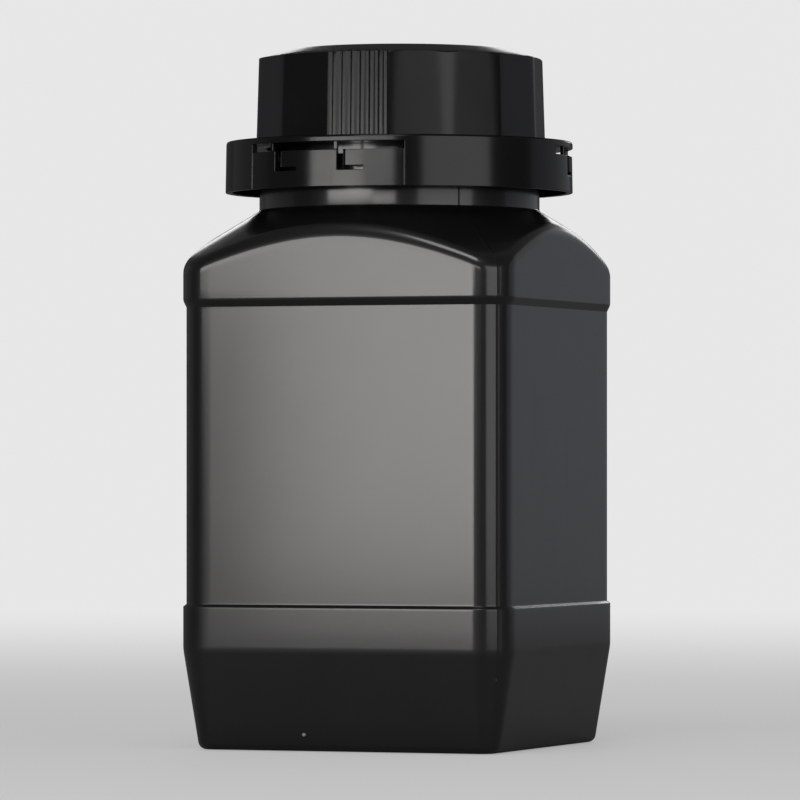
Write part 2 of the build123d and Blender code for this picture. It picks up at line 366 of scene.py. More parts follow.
BOTTLE_FINISH = MouldedPlastic(
    name="blown black polyethylene",
    colour=(0.0065, 0.0065, 0.007),
    second_colour=(0.009, 0.0085, 0.0085),
    roughness=0.34,
    roughness_spread=0.01,
    grain_size=0.35,
    grain_height=1.6,
    wave_size=17.0,
    wave_height=55.0,
    scuffs=0.05,
    specular=0.45,
    coat=1.0,
    # three knocks near the front-right corner and the foot, each with its glint painted in as pale colour: a
    # painted highlight on real wear
    nicks_with_painted_glints=(
        NickWithPaintedGlint(place=(40.9, -40.6, 19.1), half_width=0.4, half_height=1.3),
        NickWithPaintedGlint(place=(39.3, -38.1, 5.4), half_width=0.5, half_height=2.0),
        NickWithPaintedGlint(place=(-10.0, -41.0, 4.2), half_width=0.5, half_height=0.5),
    ),
)
CAP_FINISH = MouldedPlastic(
    name="moulded black polypropylene",
    colour=(0.006, 0.006, 0.0065),
    second_colour=(0.008, 0.008, 0.0085),
    roughness=0.17,
    roughness_spread=0.008,
    grain_size=0.25,
    grain_height=0.5,
    wave_size=9.0,
    wave_height=14.0,
    scuffs=0.06,
)
FOAM_FINISH = MouldedPlastic(
    name="closed-cell liner foam",
    colour=(0.8, 0.8, 0.77),
    second_colour=(0.72, 0.72, 0.69),
    roughness=0.62,
    roughness_spread=0.06,
    grain_size=0.45,
    grain_height=45.0,
    wave_size=6.0,
    wave_height=60.0,
    scuffs=0.1,
)


# ---------------------------------------------------------------- bottle


@dataclass(frozen=True)
class ThreadForm:
    """One screw ridge in cross-section. Widths are half widths."""

    lead: float = 6.0
    depth: float = 1.45
    crest: float = 0.55
    root: float = 1.2
    run_out: float = 14.0  # degrees over which an end fades into the wall


@dataclass
class BottleSkin:
    """The blow-moulded bottle: square body, coned shoulder, neck with its thread."""

    half_width: float
    rim_z: float
    corner_radius: float = 8.9
    panel_recess: float = 0.83
    foot_inset: float = 4.1
    foot_rounding: float = 3.4
    wall: float = 1.5
    push_up_height: float = 3.0
    push_up_flat: float = 0.55
    standing_rim: float = 5.0
    foot_height: float = 25.3
    lower_band_height: float = 10.8
    lower_step_height: float = 0.6
    panel_height: float = 75.0
    upper_step_height: float = 1.7
    upper_band_height: float = 9.4
    shoulder_rise: float = 14.1
    shoulder_rounding: float = 5.2
    neck_ring_radius: float = 35.9
    ring_height: float = 8.6
    ratchet_height: float = 4.4
    ratchet_radius: float = 40.2
    ratchet_depth: float = 1.3
    ratchet_teeth: int = 24
    finish_radius: float = 32.2
    mouth_radius: float = 29.0
    rim_rounding: float = 0.7
    step_hold: float = 0.6  # from a step to the ring that keeps the shading flat beside it
    thread_turns: float = 1.0
    thread_drop: float = 5.0
    parting_height: float = 0.05
    parting_width: float = 0.2
    pinch_off: tuple[float, float, float] = (46.0, 0.9, 0.45)  # length, width, height
    thread: ThreadForm = field(default_factory=ThreadForm)

    def __post_init__(self) -> None:
        """Works out the heights and the plan of the upright columns."""
        self.lower_band_z = self.foot_height
        self.lower_step_z = self.lower_band_z + self.lower_band_height
        self.panel_z = self.lower_step_z + self.lower_step_height
        self.upper_step_z = self.panel_z + self.panel_height
        self.upper_band_z = self.upper_step_z + self.upper_step_height
        self.corner_top_z = self.upper_band_z + self.upper_band_height
        self.shoulder_z = self.corner_top_z + self.shoulder_rise
        self.ring_top_z = self.shoulder_z + self.ring_height
        self.ratchet_top_z = self.ring_top_z + self.ratchet_height
        self.core = self.half_width - self.corner_radius
        reach = math.sqrt(2) * self.core + self.corner_radius
        self.slope = self.shoulder_rise / (reach - self.neck_ring_radius)
        self.push_up_radius = self.half_width - self.foot_inset - self.foot_rounding - self.standing_rim
        self.lay_out_columns()

    def lay_out_columns(self) -> None:
        """Sets each column's core point, outward normal, neck angle and parting ridge."""
        arc_steps, flat_steps = 8, 52
        sliver = self.parting_width / 2 / (self.corner_radius * math.pi / 2)
        near = [0.5 + sliver * step for step in (-2, -1, 0, 1, 2)]
        before = np.linspace(0, near[0], arc_steps + 1)[:-1]
        shares = [*before, *near, *(1 - before[::-1])]
        ridges = [0.0] * arc_steps + [0.0, 0.6, 1.0, 0.6, 0.0] + [0.0] * arc_steps
        points, normals, weights, parting = [], [], [], []
        for quarter in range(4):
            start = quarter * math.pi / 2
            corner = math.sqrt(2) * self.core * np.array(
                [math.cos(start + math.pi / 4), math.sin(start + math.pi / 4)]
            )
            along = np.array([-math.sin(start + math.pi / 2), math.cos(start + math.pi / 2)])
            for at, share in enumerate(shares):
                angle = start + share * math.pi / 2
                points.append(corner)
                normals.append([math.cos(angle), math.sin(angle)])
                narrow = arc_steps <= at < arc_steps + 4
                weights.append(0.1 if narrow else 1.0)
                parting.append(ridges[at] if quarter % 2 else 0.0)
            for step in range(1, flat_steps):
                points.append(corner + along * 2 * self.core * step / flat_steps)
                normals.append([math.cos(start + math.pi / 2), math.sin(start + math.pi / 2)])
                weights.append(1.0)
                parting.append(0.0)
        self.core_points = np.array(points)
        self.normals = np.array(normals)
        self.parting = np.array(parting)
        turn = np.concatenate([[0], np.cumsum(weights)[:-1]]) / sum(weights) * 2 * math.pi
        middle = arc_steps + 2
        self.neck_angles = turn - turn[middle] + math.pi / 4
        square = self.core_points + self.normals * self.corner_radius
        self.corner_reach = np.linalg.norm(square, axis=1)
        self.square_angles = np.unwrap(np.arctan2(square[:, 1], square[:, 0]))
        self.lean = (square * self.normals).sum(1) / self.corner_reach

    def square_ring(self, half_width: float, height: float, ridge: float = 0.0) -> np.ndarray:
        """A rounded-square ring of the body, with its parting line ridge high."""
        out = half_width - self.core + ridge * self.parting
        plan = self.core_points + self.normals * out[:, None]
        return np.column_stack([plan, np.full(len(plan), height)])

    def round_ring(
        self, radius: float, height: float, turned: float = 0.0, ridge: float = 0.0
    ) -> np.ndarray:
        """A round ring, its columns turned from the body's places (0) to the neck's (1)."""
        angle = self.square_angles + (self.neck_angles - self.square_angles) * turned
        return polar(radius + ridge * self.parting, angle, np.float64(height))

    def base_rings(self) -> list[np.ndarray]:
        """Rings from the middle of the base out to the standing rim."""
        flat = self.push_up_radius * self.push_up_flat
        outline = [
            (1.0, self.push_up_height),
            (flat, self.push_up_height, 6.0),
            (self.push_up_radius, 0, 1.6),
            (self.push_up_radius + self.standing_rim, 0),
        ]
        path = subdivided(rounded_path(outline), 3.0)
        return [self.round_ring(radius, height) for radius, height in path]

    def side_rings(self) -> list[np.ndarray]:
        """Rings of the foot, the bands and the label panel, from the ground up."""
        foot = self.half_width - self.foot_inset
        panel = self.half_width - self.panel_recess
        hold = self.step_hold
        outline = [
            (foot - self.foot_rounding - 0.2, 0.0),
            (foot, 0.0, self.foot_rounding),
            (self.half_width, self.lower_band_z, 12.0),
            (self.half_width, self.lower_step_z - hold),
            (self.half_width, self.lower_step_z, 0.3),
            (panel, self.panel_z, 0.3),
            (panel, self.panel_z + hold),
            (panel, self.upper_step_z - hold),
            (panel, self.upper_step_z, 0.3),
            (self.half_width, self.upper_band_z, 2.5),
            (self.half_width, self.upper_band_z + 2.5),
        ]
        path = subdivided(rounded_path(outline, 7), 6.0)
        return [self.square_ring(width, height, self.parting_height) for width, height in path]

    def shoulder_rings(self) -> list[np.ndarray]:
        """Rings over the arched edges and up the cone to the foot of the neck ring."""
        slope = self.slope / self.lean
        turn = math.pi / 2 - np.arctan(slope)
        tangent = self.shoulder_rounding * np.tan(turn / 2)
        edge_z = self.shoulder_z - (self.corner_reach - self.neck_ring_radius) * self.slope
        ridge = self.parting * self.parting_height
        rings = []
        start_z = self.upper_band_z + 2.5
        for share in np.linspace(0, 1, 7)[1:-1]:
            height = start_z + (edge_z - tangent - start_z) * share
            rings.append(polar(self.corner_reach + ridge, self.square_angles, height))
        steps = 10
        for step in range(steps + 1):
            angle = turn * step / steps
            inward = self.shoulder_rounding * (1 - np.cos(angle))
            height = edge_z - tangent + self.shoulder_rounding * np.sin(angle)
            rings.append(polar(self.corner_reach + ridge - inward / self.lean, self.square_angles, height))
        last_radius = self.corner_reach - self.shoulder_rounding * (1 - np.cos(turn)) / self.lean
        foot = self.neck_ring_radius + 0.9
        steps = 12
        for step in range(1, steps + 1):
            share = step / steps
            radius = last_radius + (foot - last_radius) * share
            height = self.shoulder_z - (radius - self.neck_ring_radius) * self.slope
            turned = share * share * (3 - 2 * share)
            angle = self.square_angles + (self.neck_angles - self.square_angles) * turned
            rings.append(polar(radius + ridge, angle, height + ridge))
        return rings

    def neck_rings(self) -> list[np.ndarray]:
        """Rings of the neck ring, the plain finish, the rim and the bore."""
        ring, finish, mouth = self.neck_ring_radius, self.finish_radius, self.mouth_radius
        outline = [
            (ring + 0.7, self.shoulder_z - 0.7 * self.slope),
            (ring, self.shoulder_z, 0.7),
            (ring, self.ring_top_z, 0.4),
            (finish, self.ring_top_z),
            (finish, self.ratchet_top_z),
            (finish, self.rim_z, self.rim_rounding),
            (mouth, self.rim_z, self.rim_rounding),
            (mouth, self.shoulder_z - self.wall, 2.0),
            (ring, self.shoulder_z - self.wall * math.hypot(1, self.slope)),
        ]
        path = subdivided(rounded_path(outline), 4.0)
        return [
            self.round_ring(radius, height, 1.0, self.parting_height if height < self.ring_top_z else 0.0)
            for radius, height in path
        ]

    def inner_rings(self) -> list[np.ndarray]:
        """Rings of the inside: shoulder, sides, floor and the top of the push-up."""
        reach = np.linalg.norm(self.core_points + self.normals * (self.corner_radius - self.wall), axis=1)
        top = self.shoulder_z - self.wall * math.hypot(1, self.slope)
        rings = []
        for share in np.linspace(0, 1, 9)[1:]:
            radius = self.neck_ring_radius + (reach - self.neck_ring_radius) * share
            angle = self.neck_angles + (self.square_angles - self.neck_angles) * share
            rings.append(polar(radius, angle, top - (radius - self.neck_ring_radius) * self.slope))
        inside = self.half_width - self.wall
        foot = inside - self.foot_inset
        outline = [
            (inside, self.upper_band_z + 2.0),
            (inside, self.upper_band_z, 2.5),
            (inside - self.panel_recess, self.upper_step_z, 2.5),
            (inside - self.panel_recess, self.panel_z, 1.5),
            (inside, self.lower_step_z, 1.5),
            (inside, self.lower_band_z, 8.0),
            (foot, self.wall, 2.0),
            (self.core + 0.05, self.wall),
        ]
        for width, height in subdivided(rounded_path(outline, 4), 12.0):
            rings.append(self.square_ring(width, height))
        radius = self.push_up_radius + self.wall
        outline = [
            (radius + 1.0, self.wall),
            (radius, self.wall, 1.5),
            (radius * self.push_up_flat, self.push_up_height + self.wall, 5.0),
            (1.0, self.push_up_height + self.wall),
        ]
        for across, height in subdivided(rounded_path(outline, 4), 4.0):
            rings.append(self.round_ring(across, height))
        return rings

    def add_ratchet(self, skin: Skin) -> None:
        """Adds the toothed collar that the cap's pawls would catch on."""
        per_tooth = 12
        tooth = 2 * math.pi / self.ratchet_teeth
        share = np.append(np.arange(per_tooth - 1) / (per_tooth - 1.5), 1.0)
        share[-2] = 0.97
        angles, radii = [], []
        for number in range(self.ratchet_teeth):
            rise = np.minimum(share / 0.97, 1.0)
            rise[-1] = 0.0
            angles += list((number + share * 0.985) * tooth)
            radii += list(self.ratchet_radius - self.ratchet_depth * (1 - rise))
        angle, radius = np.array(angles), np.array(radii)
        inner, soft = self.finish_radius - 0.3, 0.35
        profile = [(None, 0.0, -soft), (None, soft, 0.0), (None, self.ratchet_height - soft, 0.0)]
        profile += [(None, self.ratchet_height, -soft), (inner, self.ratchet_height, 0.0), (inner, 0.0, 0.0)]
        rings = []
        for fixed, up, out in profile:
            across = np.full(len(angle), fixed) if fixed else radius + out
            rings.append(polar(across, angle, np.float64(self.ring_top_z + up)))
        grid = np.stack(rings)
        columns, count = len(angle), len(profile)
        faces = []
        for column in range(columns):
            beside = (column + 1) % columns
            for at in range(count):
                low, high = at * columns, (at + 1) % count * columns
                faces.append([low + column, low + beside, high + beside, high + column])
        skin.add(grid.reshape(-1, 3), faces)

    def add_pinch_off(self, skin: Skin) -> None:
        """Adds the thin weld line that the closing mould leaves across the base."""
        length, width, height = self.pinch_off
        middle = self.push_up_height
        end, shoulder, side = length / 2, length / 2 - 3, width / 2
        half = np.array([[-end, 0], [-shoulder, -side], [shoulder, -side]])
        plan = np.vstack([half, -half])
        turn = -math.pi / 4
        spin = np.array([[math.cos(turn), math.sin(turn)], [-math.sin(turn), math.cos(turn)]])
        plan = plan @ spin
        low = np.column_stack([plan * 0.985, np.full(6, middle - height)])
        high = np.column_stack([plan, np.full(6, middle + 0.4)])
        faces = [[0, 5, 4, 3, 2, 1], [6, 7, 8, 9, 10, 11]]
        faces += [[at, (at + 1) % 6, 6 + (at + 1) % 6, 6 + at] for at in range(6)]
        skin.add(np.vstack([low, high]), faces)

    def build(self) -> bpy.types.Object:
        """Makes the bottle's skin.

        Returns:
            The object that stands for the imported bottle.
        """
        material = BOTTLE_FINISH.material()
        skin = Skin("bottle_skin")
        rings = [*self.base_rings(), *self.side_rings(), *self.shoulder_rings()]
        rings += [*self.neck_rings(), *self.inner_rings()]
        floor = self.push_up_height + self.wall
        skin.add_rings(np.stack(rings), np.array([0, 0, self.push_up_height]), np.array([0, 0, floor]))
        self.add_ratchet(skin)
        self.add_pinch_off(skin)
        low_z = self.rim_z - self.thread_drop - self.thread.lead * self.thread_turns
        screw_ridge(skin, self.finish_radius, 1, low_z, self.thread_turns, self.thread)
        made = skin.build("bottle", material, "bottle_plastic")
        keep_edges(made, Smoothing.MOULDED)
        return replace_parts(made, "bottle")


# ---------------------------------------------------------------- liner


@dataclass
class LinerSkin:
    """The foam disc in the roof of the cap."""

    radius: float
    low_z: float
    high_z: float
    edge: float = 0.35
    roof_gap: float = 0.02  # keeps its top just clear of the cap's roof
    seal_radius: float = 30.6  # middle of the ring that the rim presses in
    seal_half_width: float = 1.6  # of its flat floor
    seal_slope: float = 0.3
    seal_depth: float = 0.12

    def build(self) -> bpy.types.Object:
        """Makes the disc, with the faint ring that the rim has pressed into it.

        Returns:
            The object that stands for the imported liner.
        """
        angle = np.linspace(0, 2 * math.pi, 193)[:-1]
        low, high = self.low_z, self.high_z - self.roof_gap
        seal, pressed, soft = self.seal_radius, low + self.seal_depth, self.seal_slope
        floor = self.seal_half_width
        brim = floor + self.seal_slope
        outline = [
            (1.0, low),
            (seal - brim, low, soft),
            (seal - floor, pressed, soft),
            (seal + floor, pressed, soft),
            (seal + brim, low, soft),
            (self.radius, low, self.edge),
            (self.radius, high, self.edge),
            (1.0, high),
        ]
        path = subdivided(rounded_path(outline, 4), 5.0)
        rings = np.stack(
            [polar(radius + 0 * angle, angle, np.float64(height)) for radius, height in path]
        )
        skin = Skin("liner_disc")
        skin.add_rings(rings, np.array([0, 0, low]), np.array([0, 0, high]))
        made = skin.build("liner", FOAM_FINISH.material(), "liner_foam")
        keep_edges(made, Smoothing.MOULDED)
        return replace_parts(made, "liner")


# ---------------------------------------------------------------- cap

# The way to the neighbour on each side of a cell (out, round, up) and that side's corners.
CELL_SIDES = (
    ((1, 0, 0), ((1, 0, 0), (1, 1, 0), (1, 1, 1), (1, 0, 1))),
    ((-1, 0, 0), ((0, 0, 0), (0, 0, 1), (0, 1, 1), (0, 1, 0))),
    ((0, 0, 1), ((0, 0, 1), (1, 0, 1), (1, 1, 1), (0, 1, 1))),
    ((0, 0, -1), ((0, 0, 0), (0, 1, 0), (1, 1, 0), (1, 0, 0))),
    ((0, 1, 0), ((0, 1, 0), (0, 1, 1), (1, 1, 1), (1, 1, 0))),
    ((0, -1, 0), ((0, 0, 0), (1, 0, 0), (1, 0, 1), (0, 0, 1))),
)


@dataclass
class CapSkin:
    """The screw cap: grip skirt with flats and ribs, slotted flange, pawls, thread."""

    flange_radius: float
    flange_z: float
    top_z: float
    rim_z: float
    flange_height: float = 12.9
    flange_draft: float = 1.0
    flange_wall: float = 1.7
    rim_thickness: float = 1.6
    rim_rounding: float = 0.55
    edge_rounding: float = 0.16
    slot_height: float = 2.05
    top_thickness: float = 1.7
    top_ring_height: float = 0.6
    top_ring_width: float = 3.0
    top_bevel_width: float = 8.2  # shallow cone from the flats in to the raised ring
    top_bevel_rise: float = 2.35
    top_bevel_edge: float = 0.5
    skirt_radius: float = 37.45
    skirt_draft: float = 2.0
    skirt_wall: float = 3.15
    grip_flats: int = 15
    flat_draft: float = 1.7
    arris_blend: float = 0.1
    ribbed_every: int = 5
    ribbed_heading: float = -85.9
    ribs_per_flat: int = 6
    rib_pitch: float = 2.45
    rib_mouth: float = 0.34  # half the groove's width at its mouth, in pitches
    rib_floor: float = 0.14  # and at its floor
    rib_depth: float = 0.55
    segments: int = 3
    segment_heading: float = -125.9
    segment_angle: float = 58.4
    segment_recess: float = 0.2
    bridges: tuple[tuple[float, float], ...] = ((8.85, 10.15), (34.7, 36.0))
    bridge_depth: float = 0.9
    pawl_angles: tuple[float, ...] = (11.8, 36.0)
    pawl_span: float = 9.0
    pawl_gap: float = 1.5
    pawl_foot_gap: float = 1.0
    pawl_height: float = 4.1
    pawl_nose_angle: float = 4.0
    pawl_bevel: float = 0.8
    nose_radius: float = 40.6
    gate_radius: float = 1.6
    thread_turns: float = 0.85
    thread_drop: float = 12.8  # from the rim of the neck to the ridge's lower end
    thread: ThreadForm = field(default_factory=ThreadForm)

    def __post_init__(self) -> None:
        """Works out the heights and radii that follow from the sizes."""
        self.ledge_z = self.flange_z + self.flange_height
        self.slot_top_z = self.ledge_z - self.rim_thickness
        self.slot_z = self.slot_top_z - self.slot_height
        self.pawl_z = self.slot_z - self.pawl_height
        self.bore = self.skirt_radius - self.skirt_wall
        self.flange_bore = self.flange_radius - self.flange_wall
        self.flat_angle = math.radians(360 / self.grip_flats)
        self.flat_radius = self.skirt_radius * math.cos(self.flat_angle / 2)
        drop = math.tan(math.radians(self.skirt_draft))
        self.skirt_top = self.skirt_radius - (self.top_z - self.ledge_z) * drop
        self.roof_z = self.top_z - self.top_ring_height - self.top_thickness

    def grip_headings(self) -> np.ndarray:
        """Column angles round the grip, in radians, closer at arrises and ribs.

        Returns:
            The angles in rising order, from the first ribbed flat round.
        """
        arris = math.degrees(self.flat_angle) / 2
        plain = [0, 0.1, 0.2, 0.32, 0.5, 0.9, 1.8, 3.2, 5.2, 7.6, 9.8]
        mouth, floor = self.rib_pitch * self.rib_mouth, self.rib_pitch * self.rib_floor
        marks = [mouth + 0.06, mouth - 0.06, (mouth + floor) / 2, floor + 0.05, floor - 0.05]
        found = []
        for flat in range(self.grip_flats):
            middle = flat * 2 * arris
            if flat % self.ribbed_every:
                found += [middle + side * (arris - away) for away in plain for side in (-1, 1)]
                found.append(middle)
                continue
            for groove in range(self.ribs_per_flat + 1):
                centre = (groove - self.ribs_per_flat / 2) * self.rib_pitch
                places = [centre + side * mark for mark in marks for side in (-1, 1)]
                places += [centre + self.rib_pitch / 2]
                found += [middle + math.degrees(math.atan2(p, self.flat_radius)) for p in places]
        turned = np.sort(np.array(found) % 360)
        keep = np.append(True, np.diff(turned) > 0.06)
        return np.radians(turned[keep] + self.ribbed_heading)

    def grip_radius(self, angle: np.ndarray, height: np.ndarray, round_radius: np.ndarray) -> np.ndarray:
        """Radius of the grip: a round form planed to flats, some of them ribbed.

        Args:
            angle: column angles, in radians.
            height: heights of the rings, as a column.
            round_radius: radius of the round form at those heights, as a column.

        Returns:
            Radii by ring and column.
        """
        apothem = self.flat_radius - (height - self.ledge_z) * math.tan(math.radians(self.flat_draft))
        start = angle - math.radians(self.ribbed_heading)
        nearest = np.round(start / self.flat_angle)
        mouth, floor = self.rib_pitch * self.rib_mouth, self.rib_pitch * self.rib_floor
        radius = np.full(np.broadcast(height, angle).shape, 1e3)
        for beside in (-1, 0, 1):
            flat = nearest + beside
            off = start - flat * self.flat_angle
            across = self.flat_radius * np.tan(off)
            groove = np.abs((across + self.rib_pitch / 2) % self.rib_pitch - self.rib_pitch / 2)
            groove = np.where(np.abs(across) > (self.ribs_per_flat / 2 + 0.5) * self.rib_pitch, 9.0, groove)
            cut = self.rib_depth * np.clip((mouth - groove) / (mouth - floor), 0, 1)
            cut = np.where(flat % self.ribbed_every == 0, cut, 0.0)
            radius = soft_least(radius, (apothem - cut) / np.cos(off), self.arris_blend)
        return soft_least(radius, round_radius + 0 * radius, 0.3)

    def build_grip(self, material: bpy.types.Material) -> bpy.types.Object:
        """Makes the skirt, the top with its raised ring, and the threaded bore.

        Args:
            material: the cap's finish.

        Returns:
            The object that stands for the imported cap.
        """
        angle = self.grip_headings()
        ring_outer = self.skirt_top - self.top_bevel_width
        ring_inner = ring_outer - self.top_ring_width
        bevel_z = self.top_z - self.top_bevel_rise
        hidden_z = self.slot_top_z + 0.6
        drop = math.tan(math.radians(self.skirt_draft))
        foot = self.skirt_radius + (self.ledge_z - hidden_z) * drop
        side = [
            (foot, hidden_z),
            (foot - (bevel_z - hidden_z) * drop, bevel_z, self.top_bevel_edge),
            (ring_outer, self.top_z, self.top_bevel_edge),
            (ring_outer - 0.6, self.top_z),
        ]
        shaped = subdivided(rounded_path(side), 1.5)
        radius, height = shaped[:, :1], shaped[:, 1:]
        outer = polar(self.grip_radius(angle, height, radius), angle, height)
        sunk = self.top_z - self.top_ring_height
        gate = self.gate_radius
        top = [
            (ring_outer - 0.6, self.top_z),
            (ring_inner, self.top_z, 0.3),
            (ring_inner - 0.25, sunk, 0.4),
            (gate + 3.0, sunk, 0.5),
            (gate + 2.2, sunk - 0.35, 0.5),
            (gate, sunk - 0.35, 0.2),
            (gate - 0.1, sunk - 0.05, 0.2),
            (0.3, sunk - 0.05),
        ]
        inside = [
            (0.3, self.roof_z),
            (self.bore, self.roof_z, 0.8),
            (self.bore, self.slot_top_z + 0.02),
            (self.bore + 1.0, self.slot_top_z + 0.02),
            (self.bore + 1.0, hidden_z),
        ]
        plain = [
            [polar(radius + 0 * angle, angle, np.float64(height)) for radius, height in path]
            for path in (subdivided(rounded_path(top)[1:], 4.0), subdivided(rounded_path(inside), 5.0))
        ]
        skin = Skin("cap_grip")
        self.add_bored(skin, np.concatenate([outer, np.stack(plain[0])]), np.stack(plain[1]))
        screw_ridge(skin, self.bore, -1, self.rim_z - self.thread_drop, self.thread_turns, self.thread)
        made = skin.build("cap", material, "cap_plastic")
        keep_edges(made, Smoothing.CRISP)
        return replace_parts(made, "cap")

    def add_bored(self, skin: Skin, outside: np.ndarray, inside: np.ndarray) -> None:
        """Adds a cup: outside rings up to the top's middle, inside rings from the roof's.

        Args:
            skin: the skin that takes it.
            outside: rings from the open foot to the middle of the top.
            inside: rings from the middle of the roof to the open foot.
        """
        columns = outside.shape[1]
        rings = np.concatenate([outside, inside])
        seam = len(outside)
        top = len(rings) * columns
        faces = []
        for column in range(columns):
            beside = (column + 1) % columns
            for ring in range(len(rings)):
                low, high = ring * columns, (ring + 1) % len(rings) * columns
                if ring == seam - 1:
                    faces.append([low + column, low + beside, top])
                    faces.append([high + beside, high + column, top + 1])
                    continue
                faces.append([low + column, low + beside, high + beside, high + column])
        middle_top = outside[-1].mean(0) * [0, 0, 1]
        middle_roof = inside[0].mean(0) * [0, 0, 1]
        skin.add(np.vstack([rings.reshape(-1, 3), middle_top, middle_roof]), faces)

    def flange_marks(self) -> tuple[np.ndarray, list[tuple[float, float]]]:
        """Column angles of the flange and the spans of its segments, in degrees.

        Returns:
            The sorted angles from the first segment's start, and one span of
            start and end for each segment.
        """
        marks, spans = [], []
        for segment in range(self.segments):
            start = segment * 360 / self.segments
            spans.append((start, start + self.segment_angle))
            marks += [start, start + self.segment_angle]
            marks += [start + edge for bridge in self.bridges for edge in bridge]
            gap = math.degrees(self.pawl_gap / self.flange_radius)
            for pawl in self.pawl_angles:
                bevel = math.degrees(self.pawl_bevel / self.flange_radius)
                marks += [start + pawl, start + pawl + gap, start + pawl + gap + bevel]
                marks += [start + pawl + self.pawl_span]
        marks = sorted({round(mark % 360, 4) for mark in marks})
        angles = []
        for mark, following in zip(marks, [*marks[1:], 360.0]):
            pieces = max(1, math.ceil((following - mark) / 2.2))
            angles += [mark + (following - mark) * step / pieces for step in range(pieces)]
        return np.array(angles), spans

    def flange_cells(self, angles: np.ndarray, spans: list[tuple[float, float]]) -> np.ndarray:
        """Which cells of the flange are plastic.

        Args:
            angles: the column angles, in degrees.
            spans: start and end of each slotted segment.

        Returns:
            Truth by radial layer, angle cell and height layer.
        """
        middles = (angles + np.append(angles[1:], 360.0)) / 2
        plastic = np.ones((4, len(angles), 5), bool)
        plastic[0, :, :4] = False
        gap = math.degrees(self.pawl_gap / self.flange_radius)
        for start, end in spans:
            here = (middles > start) & (middles < end)
            plastic[3, here, :3] = False
            plastic[:, here, 3] = False
            for low, high in self.bridges:
                plastic[1, (middles > start + low) & (middles < start + high), 3] = True
            for pawl in self.pawl_angles:
                first = start + pawl
                foot = (middles > first) & (middles < first + self.pawl_span)
                tip = (middles > first) & (middles < first + gap)
                plastic[1:3, foot, 1] = False
                plastic[1:3, tip, 2] = False
        return plastic

    def build_flange(self, material: bpy.types.Material) -> bpy.types.Object:
        """Makes the tamper-evident flange, cut from polar cells, with soft edges.

        Args:
            material: the cap's finish.

        Returns:
            The flange, bridges and pawls as one object.
        """
        angles, spans = self.flange_marks()
        plastic = self.flange_cells(angles, spans)
        pawl_foot_z = self.pawl_z - self.pawl_foot_gap
        heights = np.array(
            [self.flange_z, pawl_foot_z, self.pawl_z, self.slot_z, self.slot_top_z, self.ledge_z]
        )
        draft = (heights - self.flange_z) * math.tan(math.radians(self.flange_draft))
        outer = self.flange_radius - draft
        radii = np.stack(
            [
                np.full(6, self.bore + 0.05),
                np.full(6, self.flange_bore),
                np.full(6, self.flange_bore + self.bridge_depth),
                outer - self.segment_recess,
                outer,
            ]
        )
        turn = np.radians(angles + self.segment_heading)
        layers = polar(radii[:, None, :], turn[None, :, None], heights[None, None, :])
        gap = math.degrees(self.pawl_gap / self.flange_radius)
        for start, _ in spans:
            for pawl in self.pawl_angles:
                tip = int(np.argmin(np.abs(angles - (start + pawl + gap))))
                layers[3, tip, 2:4, :2] *= 1 - self.pawl_bevel / self.flange_radius
        skin = Skin("cap_flange")
        skin.add(*self.cell_surface(plastic, layers))
        made = skin.build("cap", material, "cap_plastic")
        self.soften(made)
        return made

    def cell_surface(self, plastic: np.ndarray, corners: np.ndarray) -> tuple[np.ndarray, list[list[int]]]:
        """The closed surface between the plastic cells and the air.

        Args:
            plastic: truth by radial layer, angle cell and height layer.
            corners: the cells' corners by radius, angle and height.

        Returns:
            The corners in use and the faces between them.
        """
        layers, turns, floors = plastic.shape
        padded = np.zeros((layers + 2, turns, floors + 2), bool)
        padded[1:-1, :, 1:-1] = plastic
        used: dict[tuple[int, int, int], int] = {}
        faces = []

        def corner(layer: int, turn: int, floor: int) -> int:
            """The number of one corner, given out the first time it is used."""
            return used.setdefault((layer, turn % turns, floor), len(used))

        for layer, turn, floor in np.argwhere(plastic).tolist():
            for (out, round_by, up), quad in CELL_SIDES:
                if padded[layer + 1 + out, (turn + round_by) % turns, floor + 1 + up]:
                    continue
                faces.append([corner(layer + a, turn + b, floor + c) for a, b, c in quad])
        return np.array([corners[key] for key in used]), faces

    def soften(self, made: bpy.types.Object) -> None:
        """Rounds the flange's edges, most of all the upper outer one."""
        mesh = made.data
        weights = mesh.attributes.new("bevel_weight_edge", "FLOAT", "EDGE")
        faces_of: dict[tuple[int, int], list[int]] = {}
        for face in mesh.polygons:
            for key in face.edge_keys:
                faces_of.setdefault(key, []).append(face.index)
        top = (self.ledge_z - 0.01) * MM
        for edge in mesh.edges:
            pair = faces_of[tuple(sorted(edge.vertices))]
            if len(pair) != 2:
                continue
            one, other = (mesh.polygons[at].normal for at in pair)
            if one.angle(other, 0) < math.radians(25):
                continue
            ends = [mesh.vertices[at].co for at in edge.vertices]
            upper = all(end.z > top and end.xy.length > self.flange_bore * MM for end in ends)
            weights.data[edge.index].value = 1.0 if upper else self.edge_rounding / self.rim_rounding
        bevel = made.modifiers.new("soft edges", "BEVEL")
        bevel.limit_method = "WEIGHT"
        bevel.width = self.rim_rounding * MM
        bevel.segments = 3
        bevel.use_clamp_overlap = False
        bevel.harden_normals = True
        bevel.miter_outer = "MITER_ARC"

